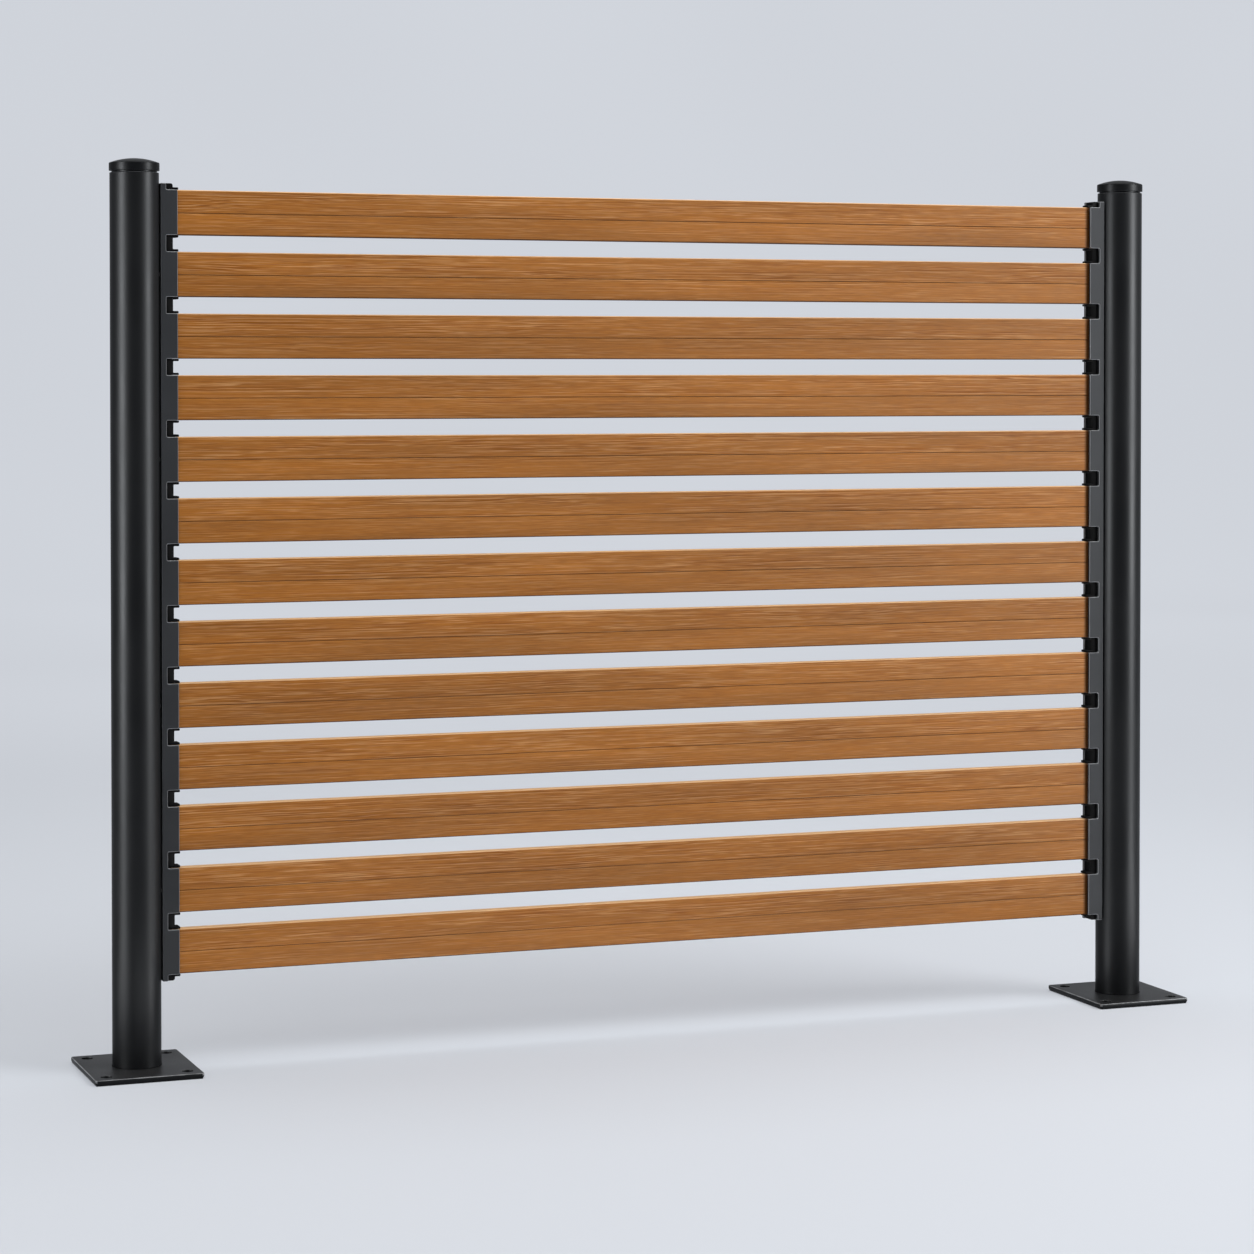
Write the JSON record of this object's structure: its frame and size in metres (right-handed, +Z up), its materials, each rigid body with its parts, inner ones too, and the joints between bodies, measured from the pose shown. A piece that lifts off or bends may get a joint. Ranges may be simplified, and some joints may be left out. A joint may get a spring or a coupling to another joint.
{
  "type": "garden privacy screen",
  "caption": "Free-standing garden screen: horizontal wood-look slats held in notched dark rails between two round capped posts on square bolt-down base plates.",
  "frame": {"origin": "on the ground, midway between the two posts", "axes": "+X from the left post to the right post, front faces -Y, +Z up"},
  "size_m": [1.621, 0.165, 1.212],
  "materials": {
    "post_coating": "satin powder coat, near black",
    "rail_coating": "satin anthracite powder coat",
    "slat_board": "fine long-grain timber look, satin",
    "spacer_nylon": "moulded black nylon, matt",
    "screw_steel": "stainless steel"
  },
  "bodies": {
    "root": {"left_post": "post_coating", "left_post_cap": "post_coating", "left_base_plate": "post_coating", "left_foot_weld": "post_coating", "left_rail": "rail_coating", "left_spacer_01": "spacer_nylon", "left_spacer_02": "spacer_nylon", "left_spacer_03": "spacer_nylon", "left_spacer_04": "spacer_nylon", "left_spacer_05": "spacer_nylon", "left_spacer_06": "spacer_nylon", "left_spacer_07": "spacer_nylon", "left_spacer_08": "spacer_nylon", "left_spacer_09": "spacer_nylon", "left_spacer_10": "spacer_nylon", "left_spacer_11": "spacer_nylon", "left_spacer_12": "spacer_nylon", "left_top_stop": "spacer_nylon", "left_bottom_stop": "spacer_nylon", "left_rail_screw_1": "screw_steel", "left_rail_screw_2": "screw_steel", "left_rail_screw_3": "screw_steel", "left_rail_screw_4": "screw_steel", "right_post": "post_coating", "right_post_cap": "post_coating", "right_base_plate": "post_coating", "right_foot_weld": "post_coating", "right_rail": "rail_coating", "right_spacer_01": "spacer_nylon", "right_spacer_02": "spacer_nylon", "right_spacer_03": "spacer_nylon", "right_spacer_04": "spacer_nylon", "right_spacer_05": "spacer_nylon", "right_spacer_06": "spacer_nylon", "right_spacer_07": "spacer_nylon", "right_spacer_08": "spacer_nylon", "right_spacer_09": "spacer_nylon", "right_spacer_10": "spacer_nylon", "right_spacer_11": "spacer_nylon", "right_spacer_12": "spacer_nylon", "right_top_stop": "spacer_nylon", "right_bottom_stop": "spacer_nylon", "right_rail_screw_1": "screw_steel", "right_rail_screw_2": "screw_steel", "right_rail_screw_3": "screw_steel", "right_rail_screw_4": "screw_steel", "slat_01": "slat_board", "slat_02": "slat_board", "slat_03": "slat_board", "slat_04": "slat_board", "slat_05": "slat_board", "slat_06": "slat_board", "slat_07": "slat_board", "slat_08": "slat_board", "slat_09": "slat_board", "slat_10": "slat_board", "slat_11": "slat_board", "slat_12": "slat_board", "slat_13": "slat_board"}
  },
  "joints": []
}
